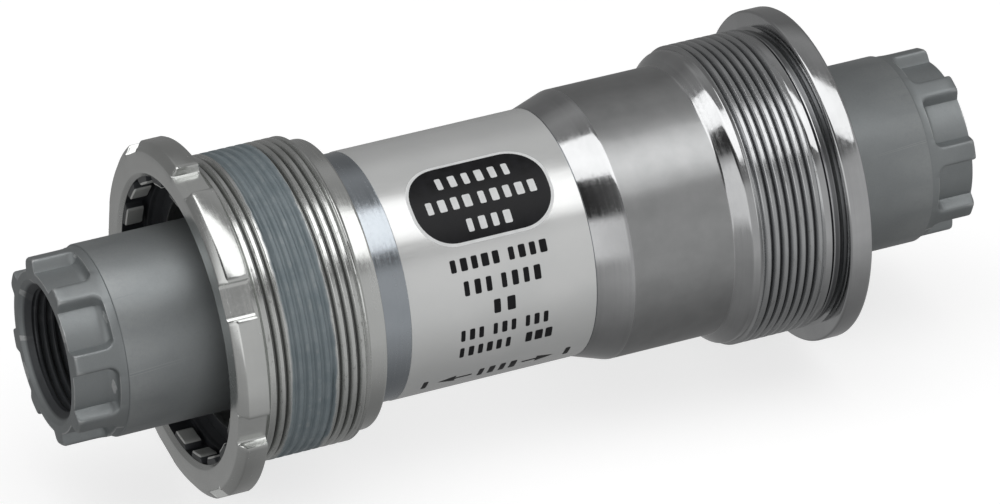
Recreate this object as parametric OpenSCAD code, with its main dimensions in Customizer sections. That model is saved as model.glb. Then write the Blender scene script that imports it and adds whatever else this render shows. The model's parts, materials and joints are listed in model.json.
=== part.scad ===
// Cartridge bottom bracket with a hollow eight-spline spindle.
// Millimetres. X runs along the spindle, -X is the left side and +X the drive side, +Z is up.
// The origin is on the spindle's axis, at the middle of its length.

/* [Shell] */
// Width of the frame's shell between the two flanges
shell_width = 68; // [68:1:73]
// How far the shell's middle lies from the spindle's middle, toward the drive side
shell_shift = 0.4; // [0:0.1:1]
// How far the left adapter stands off the shell's left face
adapter_gap = 2.7; // [0.6:0.1:6]

/* [Spindle] */
// Overall length of the spindle
spindle_length = 109.5; // [107:0.5:121]
// Diameter of the spindle's plain body
spindle_d = 21.8; // [21.6:0.1:22]
// Length of each splined pocket, from the end face
spline_length = 4.85; // [4:0.05:5.4]
// Diameter across the spline tips
spline_tip_d = 21.35; // [21.2:0.05:21.5]
// Diameter across the spline floors
spline_floor_d = 18.5; // [18:0.1:19]
// Bore through the middle of the spindle
spindle_bore_d = 13.5; // [12:0.1:13.5]

/* [Cups] */
// Diameter over the thread crests of both cups
cup_thread_d = 34.8; // [34.6:0.05:34.9]
// Diameter of the left adapter's notched flange
left_flange_d = 40.6; // [40:0.1:42]
// Diameter of the drive side flange
drive_flange_d = 38.6; // [38:0.1:40]
// Number of spanner notches round the left flange
notch_count = 8; // [6:1:8]
// Width of one spanner notch
notch_width = 4.1; // [3:0.1:5]
// Diameter across the notch floors
notch_floor_d = 38.2; // [37.6:0.1:38.6]
// Number of teeth in each tool spline
tool_teeth = 20; // [16:1:20]

/* [Bearings] */
// Number of balls on the left side
left_ball_count = 22; // [16:1:22]
// Number of balls on the drive side
right_ball_count = 18; // [12:1:18]
// Number of rollers in each needle bearing
needle_count = 24; // [16:1:24]

/* [Hidden] */

$fn = 96;
EPS = 0.01;
RUN = 0.02;

// Half widths and the stations that follow the shell's width
half_spindle = spindle_length / 2;
half_shell = shell_width / 2;
grow = half_shell - 34;

spindle_r = spindle_d / 2;
spline_tip_r = spline_tip_d / 2;
spline_floor_r = spline_floor_d / 2;
bore_r = spindle_bore_d / 2;
shoulder_in = 5.8;
spline_count = 8;
spline_runout = 1.3;
spline_floor_half = 2.2;
spline_tip_half = 3.05;
end_chamfer = 0.35;

// Crank bolt thread, M15 x 1
bolt_minor_r = 6.96;
bolt_major_r = 7.5;
bolt_pitch = 1;
bolt_turns = 12;
bolt_mouth_r = 7.7;
bolt_mouth_depth = 0.75;
bolt_thread_end = bolt_mouth_depth + bolt_turns * bolt_pitch;

// Cup thread, 1.37 inch by 24 to the inch
crest_r = cup_thread_d / 2;
cup_pitch = 25.4 / 24;
groove_depth = 0.65;
groove_mouth = 0.49;
groove_bottom = 0.1;

// Foot of each flange, outside the thread crests
seat_in_r = crest_r + 0.05;
seat_fillet = 0.35;

// Tool splines in both cups
tool_crest_r = 15.5;
tool_root_r = 16.35;
tool_mouth_r = 16.8;
tool_slot = 2.05;
tool_mouth_depth = 0.4;
tool_tooth_depth = 2.2;
tool_relief = 0.5;

// Small edge breaks
edge = 0.3;
small_edge = 0.2;
thread_lead = 0.15;

// Cartridge sleeve and label
sleeve_out_r = 14.2;
sleeve_in_r = 13.3;
sleeve_left = -31.65 - grow;
sleeve_right = 19.9 + grow;
label_left = -16.94 - grow;
label_right = 5.4 + grow;
label_thick = 0.08;

// Drive side cup
cup_left = 5.46 + grow;
cup_edge_r = 14.32;
cup_cone_right = 9.35 + grow;
cup_body_r = 15.6;
cup_body_right = 21.77 + grow;
cup_neck_r = 17;
cup_neck_left = 23.4 + grow;
cup_thread_left = 24.45 + grow;
cup_thread_right = 33 + grow;
cup_first_groove = 24.8 + grow;
cup_groove_count = 8;
cup_relief_r = 16.8;
cup_ridge_r = 17.2;
cup_flange_left = half_shell + shell_shift;
cup_flange_thick = 2.7;
cup_flange_right = cup_flange_left + cup_flange_thick;
drive_flange_r = drive_flange_d / 2;
cup_bearing_r = 14.6;
cup_floor_r = 15;
cup_floor_edge = 0.5;
cup_undercut = 0.1;
cup_ridge_in = 0.25;
cup_ridge_out = 0.5;

// Left adapter cup, at its rest place on the cartridge
adapter_back = -half_shell + shell_shift - adapter_gap;
adapter_front = adapter_back - 3.3;
adapter_thread_left = adapter_back + 1.25;
adapter_thread_right = adapter_back + 13.05;
adapter_last_groove = adapter_back + 12.2;
adapter_groove_count = 11;
adapter_end = adapter_back + 15.5;
adapter_pilot_r = 16.6;
adapter_relief_r = 16.95;
adapter_bore_r = sleeve_out_r + 0.06;
adapter_lip_r = 13.4;
adapter_lip_left = adapter_back + 1.1;
adapter_lip_right = adapter_back + 1.9;
adapter_floor_r = 14.9;
adapter_floor_slope = 0.8;
adapter_thread_taper = 0.4;
adapter_front_break_r = 1;
adapter_front_break_x = 0.75;
left_flange_r = left_flange_d / 2;
notch_floor_r = notch_floor_d / 2;
notch_phase = 8.4;
tool_phase = 0;

// Left ball bearing
left_ball_d = 2;
left_ball_x = -25.3 - grow;
left_ball_c = spindle_r - 0.3 + left_ball_d / 2;
left_race_in_r = 12.1;
left_race_half = 3;
left_cage_in_r = spindle_r + 0.2;
left_cage_out_r = 11.95;
left_cage_half = 1.6;

// Drive side ball bearing
right_ball_d = 3.175;
right_ball_x = 24.2 + grow;
right_ball_c = spindle_r - 0.35 + right_ball_d / 2;
right_race_in_r = 13.1;
right_race_half = 3.3;
right_cage_in_r = spindle_r + 0.25;
right_cage_out_r = 12.95;
right_cage_half = 2.3;
cage_gap = 0.05;

// Needle bearings
needle_d = 1.8;
needle_length = 9;
needle_c = spindle_r + RUN + needle_d / 2;
needle_shell_in_r = needle_c + needle_d / 2 + RUN;
needle_shell_half = 5.5;
needle_shell_lip_r = 11.7;
needle_shell_lip = 0.4;
needle_cage_in_r = spindle_r + 0.3;
needle_cage_out_r = 12.3;
needle_cage_half = 4.95;
left_needle_x = -16 - grow;
right_needle_x = 12.7 + grow;

// Spacer, seals, carriers and retaining rings
spacer_in_r = 12.2;
spacer_out_r = 13.2;
lip_gap = 0.05;
seal_mid_r = 11.4;
carrier_lip_r = 11.7;
carrier_wall = 0.5;
carrier_face = 0.4;
seal_width = 1.6;
lip_lean = 0.15;
lip_thick = 0.35;
left_carrier_x = sleeve_left + 0.15;
right_carrier_x = 31.6 + grow;
left_ring_x = -29 - grow;
right_ring_x = 28.4 + grow;
ring_thick = 0.8;
ring_gap = 3;
ring_room = 0.1;
ring_slack = 0.03;
left_ring_in_r = 12.3;
left_ring_out_r = 13.6;
right_ring_in_r = 13.3;
right_ring_out_r = 15;

// A ring turned about the X axis from points given as [radius, station]
module turned(points) {
    rotate([0, 90, 0]) rotate_extrude() polygon(points);
}

// A plain ring between two stations
module ring(r_in, r_out, x0, x1) {
    turned([[r_in, x0], [r_out, x0], [r_out, x1], [r_in, x1]]);
}

// The groove in a wall of radius r_wall that holds a retaining ring
module ring_groove(x, r_wall, r_ring) {
    ring(r_wall - 0.2, r_ring + ring_slack, x - ring_thick / 2 - ring_slack, x + ring_thick / 2 + ring_slack);
}

// A solid round bar between two stations
module bar(r, x0, x1) {
    translate([x0, 0, 0]) rotate([0, 90, 0]) cylinder(r = r, h = x1 - x0);
}

// Copies of a child spaced evenly about the X axis, the first one at +Y
module around(count, phase = 0) {
    for (i = [0 : count - 1]) {
        rotate([phase + i * 360 / count, 0, 0]) children();
    }
}

// One V groove cut into the outside of a thread
module outside_groove(x) {
    turned([[crest_r - groove_depth, x - groove_bottom / 2], [crest_r - groove_depth, x + groove_bottom / 2],
        [crest_r, x + groove_mouth / 2], [crest_r + EPS * 20, x + groove_mouth / 2],
        [crest_r + EPS * 20, x - groove_mouth / 2], [crest_r, x - groove_mouth / 2]]);
}

// One V groove cut into the wall of a crank bolt hole
module inside_groove(x) {
    turned([[bolt_minor_r - EPS * 20, x - groove_mouth / 2], [bolt_minor_r, x - groove_mouth / 2],
        [bolt_major_r, x - groove_bottom / 2], [bolt_major_r, x + groove_bottom / 2],
        [bolt_minor_r, x + groove_mouth / 2], [bolt_minor_r - EPS * 20, x + groove_mouth / 2]]);
}

// The room cut for one pocket between two splines, at the +X end
module spline_pocket() {
    reach = 12;
    slope = (spline_tip_half - spline_floor_half) / (spline_tip_r - spline_floor_r);
    reach_half = spline_floor_half + slope * (reach - spline_floor_r);
    low = 8;
    low_half = spline_floor_half - slope * (spline_floor_r - low);
    x0 = half_spindle - spline_length;
    intersection() {
        translate([x0 - 1, 0, 0]) rotate([90, 0, 90]) linear_extrude(spline_length + 2)
            polygon([[low, -low_half], [reach, -reach_half], [reach, reach_half], [low, low_half]]);
        rotate([0, 90, 0]) rotate_extrude() difference() {
            translate([spline_floor_r, x0]) square([reach, spline_length + 2]);
            difference() {
                translate([spline_floor_r - 1, x0 - 1]) square([spline_runout + 1, spline_runout + 1]);
                translate([spline_floor_r + spline_runout, x0 + spline_runout]) circle(r = spline_runout);
            }
        }
    }
}

// Everything cut from one end of the spindle, drawn at the +X end
module spindle_end_cuts() {
    around(spline_count) spline_pocket();
    turned([[0, half_spindle - bolt_mouth_depth], [bolt_minor_r, half_spindle - bolt_mouth_depth],
        [bolt_mouth_r, half_spindle], [bolt_mouth_r, half_spindle + 1], [0, half_spindle + 1]]);
    bar(bolt_minor_r, half_spindle - bolt_thread_end, half_spindle);
    for (i = [0 : bolt_turns - 1]) {
        inside_groove(half_spindle - bolt_mouth_depth - (i + 0.6) * bolt_pitch);
    }
}

module spindle() {
    step = half_spindle - shoulder_in;
    color("dimgray") difference() {
        turned([[0, -half_spindle], [spline_tip_r - end_chamfer, -half_spindle],
            [spline_tip_r, -half_spindle + end_chamfer], [spline_tip_r, -step], [spindle_r, -step],
            [spindle_r, step], [spline_tip_r, step], [spline_tip_r, half_spindle - end_chamfer],
            [spline_tip_r - end_chamfer, half_spindle], [0, half_spindle]]);
        bar(bore_r, -half_spindle - 1, half_spindle + 1);
        spindle_end_cuts();
        mirror([1, 0, 0]) spindle_end_cuts();
        ball_track(left_ball_x, left_ball_c, left_ball_d);
        ball_track(right_ball_x, right_ball_c, right_ball_d);
    }
}

// The round track that a ring of balls rolls in
module ball_track(x, c, d) {
    rotate([0, 90, 0]) rotate_extrude() translate([c, x]) circle(r = d / 2 + RUN, $fn = 48);
}

// The slots between the teeth of a tool spline, opening toward +X at station x
module tool_slots(x, depth) {
    around(tool_teeth, tool_phase + 180 / tool_teeth)
        translate([x - depth, tool_crest_r - 1, -tool_slot / 2])
        cube([depth + 1, tool_root_r - tool_crest_r + 1, tool_slot]);
}

module drive_side_cup() {
    recess_end = cup_flange_right - tool_mouth_depth - tool_tooth_depth;
    color("silver") difference() {
        turned([[sleeve_out_r, cup_left], [cup_edge_r, cup_left], [cup_body_r, cup_cone_right],
            [cup_body_r, cup_body_right], [cup_neck_r, cup_neck_left],
            [cup_neck_r, cup_thread_left - thread_lead], [crest_r, cup_thread_left],
            [crest_r, cup_thread_right],
            [cup_relief_r, cup_thread_right + cup_undercut], [cup_relief_r, cup_thread_right + cup_ridge_in],
            [cup_ridge_r, cup_thread_right + cup_ridge_in + cup_undercut],
            [cup_ridge_r, cup_thread_right + cup_ridge_out],
            [cup_relief_r, cup_thread_right + cup_ridge_out + cup_undercut],
            [cup_relief_r, cup_flange_left - seat_fillet], [seat_in_r, cup_flange_left],
            [drive_flange_r - edge, cup_flange_left],
            [drive_flange_r, cup_flange_left + edge], [drive_flange_r, cup_flange_right - edge],
            [drive_flange_r - edge, cup_flange_right], [tool_mouth_r, cup_flange_right],
            [tool_root_r, cup_flange_right - tool_mouth_depth],
            [tool_crest_r, cup_flange_right - tool_mouth_depth], [tool_crest_r, recess_end],
            [cup_floor_r, recess_end - cup_floor_edge],
            [cup_bearing_r, recess_end - cup_floor_edge - small_edge],
            [cup_bearing_r, sleeve_right + ring_room], [sleeve_out_r, sleeve_right + ring_room]]);
        for (i = [0 : cup_groove_count - 1]) {
            outside_groove(cup_first_groove + i * cup_pitch);
        }
        tool_slots(cup_flange_right, tool_mouth_depth + tool_tooth_depth);
        ring_groove(right_ring_x, cup_bearing_r, right_ring_out_r);
    }
}

module left_adapter_cup() {
    front = adapter_front;
    teeth_end = front + tool_mouth_depth + tool_tooth_depth;
    color("lightgray") difference() {
        turned([[tool_mouth_r, front], [left_flange_r - adapter_front_break_r, front],
            [left_flange_r, front + adapter_front_break_x], [left_flange_r, adapter_back - small_edge],
            [left_flange_r - small_edge, adapter_back], [seat_in_r, adapter_back],
            [adapter_relief_r, adapter_back + seat_fillet],
            [adapter_relief_r, adapter_thread_left - thread_lead], [crest_r, adapter_thread_left],
            [crest_r, adapter_thread_right], [adapter_pilot_r, adapter_thread_right + adapter_thread_taper],
            [adapter_pilot_r, adapter_end - edge], [adapter_pilot_r - edge, adapter_end],
            [adapter_bore_r + edge, adapter_end], [adapter_bore_r, adapter_end - edge],
            [adapter_bore_r, adapter_lip_right], [adapter_lip_r, adapter_lip_right],
            [adapter_lip_r, adapter_lip_left + small_edge], [adapter_lip_r + small_edge, adapter_lip_left],
            [adapter_floor_r, adapter_lip_left], [tool_crest_r, adapter_lip_left - adapter_floor_slope],
            [tool_crest_r, front + tool_mouth_depth], [tool_root_r, front + tool_mouth_depth]]);
        for (i = [0 : adapter_groove_count - 1]) {
            outside_groove(adapter_last_groove - i * cup_pitch);
        }
        mirror([1, 0, 0]) tool_slots(-front, tool_mouth_depth + tool_tooth_depth);
        around(notch_count, notch_phase) translate([front - 1, notch_floor_r, -notch_width / 2])
            cube([adapter_back - front + 1 + EPS, 4, notch_width]);
        ring(tool_crest_r - 1, tool_root_r, teeth_end - EPS, teeth_end + tool_relief);
    }
}

module cartridge_sleeve() {
    color("lightslategray") difference() {
        turned([[sleeve_in_r + small_edge, sleeve_left], [sleeve_out_r - edge, sleeve_left],
            [sleeve_out_r, sleeve_left + edge], [sleeve_out_r, sleeve_right], [sleeve_in_r, sleeve_right],
            [sleeve_in_r, sleeve_left + small_edge]]);
        ring_groove(left_ring_x, sleeve_in_r, left_ring_out_r);
    }
}

module sleeve_label() {
    color("whitesmoke") ring(sleeve_out_r, sleeve_out_r + label_thick, label_left, label_right);
}

// A plain outer race between two radii, before its ball track is cut
module race_blank(x, half, r_in, r_out) {
    turned([[r_in, x - half], [r_out - small_edge, x - half], [r_out, x - half + small_edge],
        [r_out, x + half - small_edge], [r_out - small_edge, x + half], [r_in, x + half]]);
}

module left_bearing_outer_race() {
    color("gainsboro") difference() {
        race_blank(left_ball_x, left_race_half, left_race_in_r, sleeve_in_r);
        ball_track(left_ball_x, left_ball_c, left_ball_d);
    }
}

module right_bearing_outer_race() {
    color("gainsboro") difference() {
        race_blank(right_ball_x, right_race_half, right_race_in_r, cup_bearing_r);
        ball_track(right_ball_x, right_ball_c, right_ball_d);
    }
}

module balls(x, c, d, count) {
    around(count) translate([x, c, 0]) sphere(r = d / 2, $fn = 48);
}

module left_bearing_balls() {
    color("lightsteelblue") balls(left_ball_x, left_ball_c, left_ball_d, left_ball_count);
}

module right_bearing_balls() {
    color("lightsteelblue") balls(right_ball_x, right_ball_c, right_ball_d, right_ball_count);
}

// The round holes of a ball cage, one for each ball
module cage_holes(x, r_in, r_out, d, count) {
    around(count) translate([x, r_in - 1, 0]) rotate([-90, 0, 0])
        cylinder(r = d / 2 + cage_gap, h = r_out - r_in + 2, $fn = 48);
}

module left_bearing_cage() {
    color("goldenrod") difference() {
        ring(left_cage_in_r, left_cage_out_r, left_ball_x - left_cage_half, left_ball_x + left_cage_half);
        cage_holes(left_ball_x, left_cage_in_r, left_cage_out_r, left_ball_d, left_ball_count);
    }
}

module right_bearing_cage() {
    color("goldenrod") difference() {
        ring(right_cage_in_r, right_cage_out_r, right_ball_x - right_cage_half,
            right_ball_x + right_cage_half);
        cage_holes(right_ball_x, right_cage_in_r, right_cage_out_r, right_ball_d, right_ball_count);
    }
}

// A drawn needle shell with a lip turned in at each end
module needle_shell(x) {
    turned([[needle_shell_lip_r, x - needle_shell_half], [sleeve_in_r - small_edge, x - needle_shell_half],
        [sleeve_in_r, x - needle_shell_half + small_edge], [sleeve_in_r, x + needle_shell_half - small_edge],
        [sleeve_in_r - small_edge, x + needle_shell_half], [needle_shell_lip_r, x + needle_shell_half],
        [needle_shell_lip_r, x + needle_shell_half - needle_shell_lip],
        [needle_shell_in_r, x + needle_shell_half - needle_shell_lip],
        [needle_shell_in_r, x - needle_shell_half + needle_shell_lip],
        [needle_shell_lip_r, x - needle_shell_half + needle_shell_lip]]);
}

module needle_rollers(x) {
    around(needle_count) translate([x - needle_length / 2, needle_c, 0]) rotate([0, 90, 0])
        cylinder(r = needle_d / 2, h = needle_length, $fn = 32);
}

// A ring cage with one slot for each roller
module needle_cage(x) {
    slot = needle_length + 2 * cage_gap;
    difference() {
        ring(needle_cage_in_r, needle_cage_out_r, x - needle_cage_half, x + needle_cage_half);
        around(needle_count) translate([x - slot / 2, needle_c - 2, -needle_d / 2 - cage_gap])
            cube([slot, 4, needle_d + 2 * cage_gap]);
    }
}

module left_needle_shell() {
    color("darkgray") needle_shell(left_needle_x);
}

module right_needle_shell() {
    color("darkgray") needle_shell(right_needle_x);
}

module left_needle_rollers() {
    color("lightsteelblue") needle_rollers(left_needle_x);
}

module right_needle_rollers() {
    color("lightsteelblue") needle_rollers(right_needle_x);
}

module left_needle_cage() {
    color("peru") needle_cage(left_needle_x);
}

module right_needle_cage() {
    color("peru") needle_cage(right_needle_x);
}

module inner_spacer_tube() {
    color("ivory") ring(spacer_in_r, spacer_out_r, left_needle_x + needle_shell_half + ring_room,
        right_needle_x - needle_shell_half - ring_room);
}

// A rubber lip seal, drawn with its outer side toward -X at station x
module lip_seal(x, r_out) {
    turned([[spindle_r + lip_gap, x + lip_lean], [seal_mid_r, x], [r_out, x], [r_out, x + seal_width],
        [seal_mid_r + edge, x + seal_width], [seal_mid_r + edge, x + seal_width / 2],
        [spindle_r + lip_gap, x + lip_lean + lip_thick]]);
}

// The pressed steel ring that holds a seal, with its outer side toward -X at station x
module seal_carrier(x, r_out) {
    depth = seal_width + carrier_face;
    turned([[carrier_lip_r, x], [r_out - small_edge, x], [r_out, x + small_edge], [r_out, x + depth],
        [r_out - carrier_wall, x + depth], [r_out - carrier_wall, x + carrier_face],
        [carrier_lip_r, x + carrier_face]]);
}

module left_seal() {
    color("black") lip_seal(left_carrier_x + carrier_face, sleeve_in_r - carrier_wall);
}

module left_seal_carrier() {
    color("gray") seal_carrier(left_carrier_x, sleeve_in_r);
}

module right_seal() {
    color("black") mirror([1, 0, 0]) lip_seal(-right_carrier_x + carrier_face, cup_bearing_r - carrier_wall);
}

module right_seal_carrier() {
    color("gray") mirror([1, 0, 0]) seal_carrier(-right_carrier_x, cup_bearing_r);
}

// A spring ring with a gap, for a groove in the wall round it
module retaining_ring(x, r_in, r_out) {
    difference() {
        ring(r_in, r_out, x - ring_thick / 2, x + ring_thick / 2);
        translate([x - ring_thick, 0, -ring_gap / 2]) cube([ring_thick * 2, r_out + 1, ring_gap]);
    }
}

module left_retaining_ring() {
    color("darkslategray") retaining_ring(left_ring_x, left_ring_in_r, left_ring_out_r);
}

module right_retaining_ring() {
    color("darkslategray") retaining_ring(right_ring_x, right_ring_in_r, right_ring_out_r);
}

spindle();
drive_side_cup();
left_adapter_cup();
cartridge_sleeve();
sleeve_label();
left_bearing_outer_race();
left_bearing_balls();
left_bearing_cage();
right_bearing_outer_race();
right_bearing_balls();
right_bearing_cage();
left_needle_shell();
left_needle_rollers();
left_needle_cage();
right_needle_shell();
right_needle_rollers();
right_needle_cage();
inner_spacer_tube();
left_seal();
left_seal_carrier();
right_seal();
right_seal_carrier();
left_retaining_ring();
right_retaining_ring();
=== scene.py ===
"""Looks of a cartridge bottom bracket with a hollow eight-spline spindle.

Lengths below are in millimetres and become metres in the mesh code. X runs along the spindle toward
the drive side, and an angle round the spindle is measured from +Y toward +Z.
"""
import json
import math

import bmesh
import bpy
import numpy as np
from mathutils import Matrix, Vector


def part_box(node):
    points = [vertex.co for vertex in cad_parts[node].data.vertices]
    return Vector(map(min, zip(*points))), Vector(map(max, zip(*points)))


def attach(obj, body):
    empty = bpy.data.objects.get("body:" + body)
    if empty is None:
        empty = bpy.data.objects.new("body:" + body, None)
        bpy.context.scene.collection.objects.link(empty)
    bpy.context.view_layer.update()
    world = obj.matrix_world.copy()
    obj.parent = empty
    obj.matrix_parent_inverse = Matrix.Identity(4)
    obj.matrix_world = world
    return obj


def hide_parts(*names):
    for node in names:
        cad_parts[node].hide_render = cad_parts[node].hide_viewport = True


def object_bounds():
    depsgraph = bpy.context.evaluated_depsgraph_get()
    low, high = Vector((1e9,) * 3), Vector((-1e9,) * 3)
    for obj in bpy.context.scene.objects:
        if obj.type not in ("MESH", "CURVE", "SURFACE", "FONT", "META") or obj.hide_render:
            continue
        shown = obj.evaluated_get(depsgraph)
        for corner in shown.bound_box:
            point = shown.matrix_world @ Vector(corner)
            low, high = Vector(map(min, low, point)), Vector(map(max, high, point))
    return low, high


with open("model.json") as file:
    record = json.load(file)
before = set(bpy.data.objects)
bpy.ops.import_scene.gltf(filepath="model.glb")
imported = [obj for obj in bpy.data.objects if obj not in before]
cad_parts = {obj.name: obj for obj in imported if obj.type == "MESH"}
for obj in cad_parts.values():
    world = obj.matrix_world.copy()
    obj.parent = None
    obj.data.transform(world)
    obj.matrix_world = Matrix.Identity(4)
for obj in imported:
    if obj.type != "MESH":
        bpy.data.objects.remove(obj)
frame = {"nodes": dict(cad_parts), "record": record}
cad_low, cad_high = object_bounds()

MM = 0.001
TURN = 360.0
CLOSEST = 0.06  # degrees between two columns of a skin, at least


def span(node):
    """(left station, right station, outer radius) of a CAD node, in millimetres."""
    low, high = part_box(node)
    return low.x / MM, high.x / MM, (high.z - low.z) / 2 / MM


def sin(degrees):
    """The sine of an angle in degrees."""
    return math.sin(math.radians(degrees))


def cos(degrees):
    """The cosine of an angle in degrees."""
    return math.cos(math.radians(degrees))


def smooth(t):
    """A soft step from 0 to 1 as t goes from 0 to 1."""
    t = np.clip(t, 0, 1)
    return t * t * (3 - 2 * t)


def from_nearest(angles, count, phase=0.0):
    """Signed angles from the nearest of count features, evenly spaced from phase."""
    step = TURN / count
    return (angles - phase + step / 2) % step - step / 2


# ---------------------------------------------------------------- mesh code

def columns(*groups):
    """Sorted angles in [0, 360) from (count, phase, offsets) groups. A group is count features, evenly
    spaced from phase, with a column at each offset on both sides of every one."""
    found = [0.0]
    for count, phase, offsets in groups:
        for k in range(count):
            for offset in offsets:
                found += [(phase + k * TURN / count + side * offset) % TURN for side in (-1, 1)]
    found = sorted(round(a, 4) for a in found)
    kept = [found[0]]
    for a in found[1:]:
        if a - kept[-1] > CLOSEST:
            kept.append(a)
    return np.array(kept)


def rounded(points, steps=4):
    """A profile of (x, r) pairs from corners (x, r, rounding)."""
    out = []
    last = len(points) - 1
    for i, (x, r, size) in enumerate(points):
        if size <= 0 or i in (0, last):
            out.append((x, r))
            continue
        here = np.array([x, r])
        before = np.array(points[i - 1][:2]) - here
        after = np.array(points[i + 1][:2]) - here
        a = before / np.linalg.norm(before)
        b = after / np.linalg.norm(after)
        reach = min(size, 0.48 * np.linalg.norm(before), 0.48 * np.linalg.norm(after))
        for k in range(steps + 1):
            t = k / steps
            p = here + a * reach * (1 - t) ** 2 + b * reach * t ** 2
            out.append((float(p[0]), float(p[1])))
    return out


class Rings:
    """A closed skin made of rings of points about the X axis, all with the same columns."""

    def __init__(self, angles):
        self.angles = np.asarray(angles, float)
        self.x, self.r, self.phi, self.seam = [], [], [], []

    def add(self, x, r, phi=None, seam=0):
        """One ring. seam is how many rings ahead its last column joins on, as on a helix."""
        count = len(self.angles)
        self.x.append(np.broadcast_to(np.asarray(x, float), count).copy())
        self.r.append(np.broadcast_to(np.asarray(r, float), count).copy())
        self.phi.append(self.angles.copy() if phi is None else np.asarray(phi, float))
        self.seam.append(seam)

    def profile(self, points, steps=4):
        """Plain rings along a profile of corners (x, r, rounding)."""
        for x, r in rounded(points, steps):
            self.add(x, r)

    def screw(self, x0, x1, r, depth, pitch, hand, shape, fade=(0.8, 0.8), fill=None):
        """Rings that follow a helix from x0 to x1. shape is [(share of a turn, share of the depth)];
        hand is 1 for a right-hand thread. fade is how many turns the ends take to run out, and
        fill(x, angles) is how full a groove is, from 0 for empty to 1 for level with the crests."""
        way = 1 if x1 > x0 else -1
        length = abs(x1 - x0)
        rows = len(shape)
        turns = math.ceil(length / pitch) + 2
        total = turns * rows + 1
        lead = self.angles / TURN if hand * way > 0 else 1 - self.angles / TURN
        for k in range(total):
            share, low = shape[k % rows]
            t = np.clip((k // rows - 1 + share + lead) * pitch, 0, length)
            level = low * smooth(t / (fade[0] * pitch)) * smooth((length - t) / (fade[1] * pitch))
            x = x0 + way * t
            if fill is not None:
                level = np.maximum(level, fill(x, self.angles) - 1)
            target = k + rows if hand * way > 0 else k - rows
            self.add(x, r + depth * level, seam=min(max(target, 0), total - 1) - k)

    def build(self, name):
        """The skin as an object, closed from the last ring back to the first."""
        count = len(self.angles)
        rings = len(self.x)
        x = np.array(self.x)
        r = np.array(self.r)
        phi = np.radians(np.array(self.phi))
        points = np.stack([x, r * np.cos(phi), r * np.sin(phi)], -1).reshape(-1, 3) * MM
        index = np.arange(rings * count).reshape(rings, count)
        ahead = np.arange(rings) + np.array(self.seam)
        index = np.hstack([index, index[ahead, :1]])
        index = np.vstack([index, index[:1]])
        a, b = index[:-1, :-1].ravel(), index[1:, :-1].ravel()
        c, d = index[1:, 1:].ravel(), index[:-1, 1:].ravel()
        faces = np.stack([a, b, c, d], -1)
        mesh = bpy.data.meshes.new(name)
        mesh.from_pydata(points.tolist(), [], faces.tolist())
        return finish_mesh(name, mesh)


def finish_mesh(name, mesh, crease=32):
    """Cleans a mesh, turns its faces outward, smooths it up to the crease angle and links it."""
    work = bmesh.new()
    work.from_mesh(mesh)
    bmesh.ops.remove_doubles(work, verts=work.verts, dist=2e-7)
    bmesh.ops.dissolve_degenerate(work, edges=work.edges, dist=2e-7)
    loose = [v for v in work.verts if not v.link_faces]
    bmesh.ops.delete(work, geom=loose, context="VERTS")
    bmesh.ops.recalc_face_normals(work, faces=work.faces)
    work.to_mesh(mesh)
    work.free()
    mesh.shade_smooth()
    mesh.set_sharp_from_angle(angle=math.radians(crease))
    thing = bpy.data.objects.new(name, mesh)
    bpy.context.scene.collection.objects.link(thing)
    return thing


# ---------------------------------------------------------------- materials

GROOVE_R = (16.85, 17.3)  # radii between which the painted shade in a thread groove fades to bare metal
NICK_R = (17.1, 17.3)  # radii between which nicks come in on the thread crests
PILOT_R = (16.5, 16.6)  # radii that part a cup's outside from its tool recess
BORE_SHADE_R = (7.55, 7.85)  # radii between which the painted shade down the spindle's bore fades to bare metal

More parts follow.
